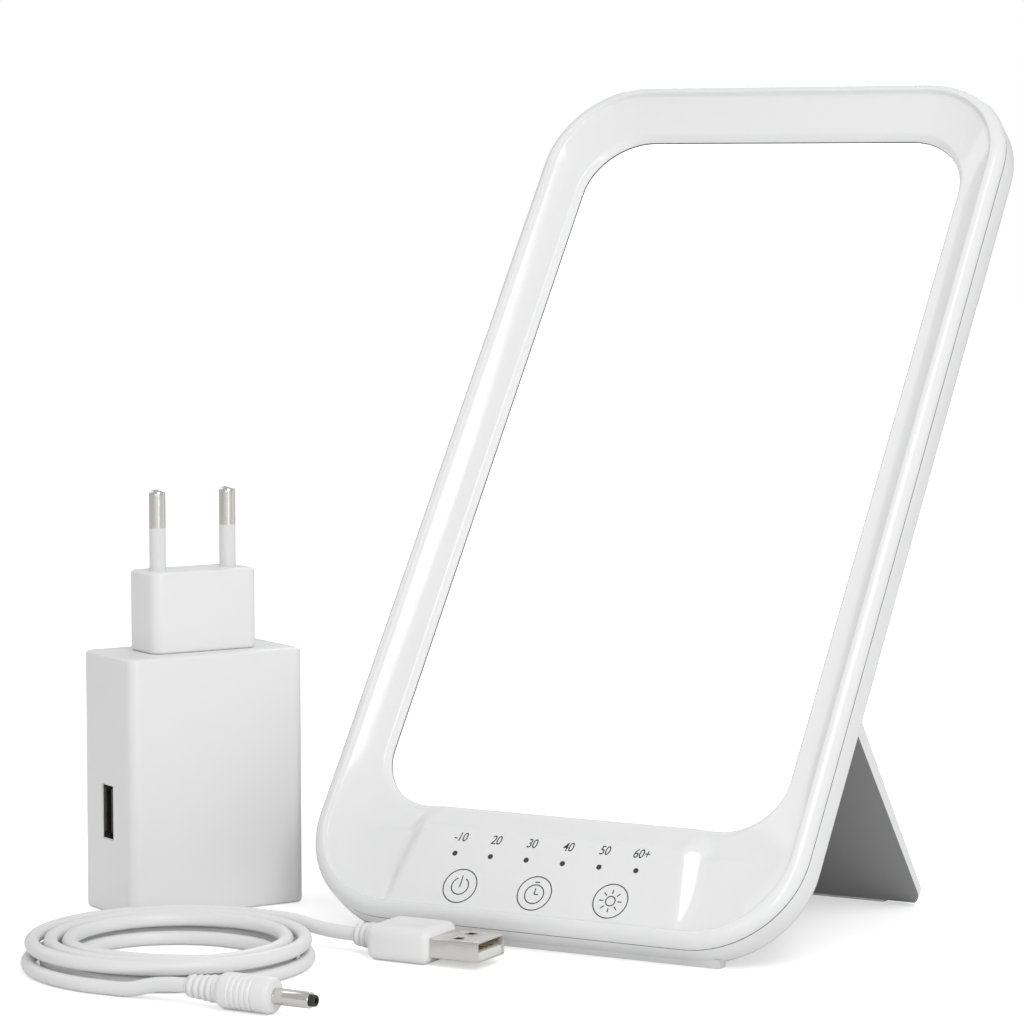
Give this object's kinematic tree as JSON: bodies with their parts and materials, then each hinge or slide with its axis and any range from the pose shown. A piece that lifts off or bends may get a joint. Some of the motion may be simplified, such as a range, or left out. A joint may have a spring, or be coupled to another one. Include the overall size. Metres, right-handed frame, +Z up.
{
  "type": "light therapy lamp",
  "caption": "Leaning light panel with a rolled white frame, touch controls under the window and a folding rear stand, with its coiled low-voltage lead and wall adapter.",
  "frame": {"origin": "on the floor, on the rubber strip under the middle of the panel's bottom edge", "axes": "+X to the right seen from the front, -Y the side that the light faces, +Z up"},
  "size_m": [0.1801, 0.2289, 0.1945],
  "materials": {
    "white_casing": "glossy moulded ABS",
    "diffuser": "satin opal acrylic",
    "light_guide": "clear acrylic with printed dots",
    "reflector": "white film",
    "aluminium_sheet": "mill finish",
    "led_board": "white lacquered",
    "led_chip": "moulded",
    "circuit_board": "solder mask",
    "chip_black": "moulded",
    "conductive_foam": "foam",
    "smoked_window": "smoked",
    "socket_black": "moulded",
    "nickel_plate": "nickel plated",
    "wire_insulation": "PVC",
    "screw_steel": "zinc plated",
    "rubber_strip": "silicone",
    "grey_stand": "fine texture ABS",
    "adapter_white": "satin moulded polycarbonate",
    "sleeve_white": "moulded",
    "contact_gold": "gold plated",
    "capacitor_can": "sleeved",
    "cord_white": "soft PVC",
    "plug_white": "soft PVC"
  },
  "bodies": {
    "lamp": {"front_bezel": "white_casing", "rear_cover": "white_casing", "diffuser_plate": "diffuser", "light_guide": "light_guide", "reflector_sheet": "reflector", "back_plate": "aluminium_sheet", "led_boards": "led_board", "strip_leds": "led_chip", "control_board": "circuit_board", "control_chips": "chip_black", "touch_pads": "conductive_foam", "indicator_leds": "led_chip", "indicator_windows": "smoked_window", "jack_body": "socket_black", "jack_pin": "nickel_plate", "jack_spring": "nickel_plate", "jack_wires": "wire_insulation", "led_wires": "wire_insulation", "case_screws": "screw_steel", "base_strip": "rubber_strip"},
    "stand": {"stand_panel": "grey_stand", "stand_foot_strip": "rubber_strip", "hinge_rod": "screw_steel", "friction_washers": "screw_steel"},
    "power_adapter": {"adapter_case": "adapter_white", "adapter_base_plate": "adapter_white", "adapter_plug_block": "adapter_white", "adapter_pins": "nickel_plate", "adapter_pin_sleeves": "sleeve_white", "adapter_usb_shell": "nickel_plate", "adapter_usb_tongue": "socket_black", "adapter_usb_contacts": "contact_gold", "adapter_board": "circuit_board", "adapter_transformer": "chip_black", "adapter_capacitors": "capacitor_can"},
    "usb_lead": {"cord_coil": "cord_white", "cord_usb_tail": "cord_white", "cord_dc_tail": "cord_white", "usb_strain_relief": "cord_white", "usb_plug_grip": "plug_white", "usb_plug_shell": "nickel_plate", "usb_plug_tongue": "sleeve_white", "usb_plug_contacts": "contact_gold", "dc_strain_relief": "cord_white", "dc_plug_grip": "plug_white", "dc_plug_barrel": "nickel_plate", "dc_plug_insulator": "socket_black"}
  },
  "joints": [
    {"name": "stand_fold", "type": "hinge", "parent": "lamp", "child": "stand", "pos_m": [0, 0.0429, 0.05378], "axis": [1, 0, 0], "range_deg": [-77, 0]},
    {"name": "adapter_lift", "type": "slide", "parent": "lamp", "child": "power_adapter", "axis": [0, 0, 1], "range_m": [0, 0.15]},
    {"name": "lead_lift", "type": "slide", "parent": "lamp", "child": "usb_lead", "axis": [0, 0, 1], "range_m": [0, 0.15]}
  ]
}
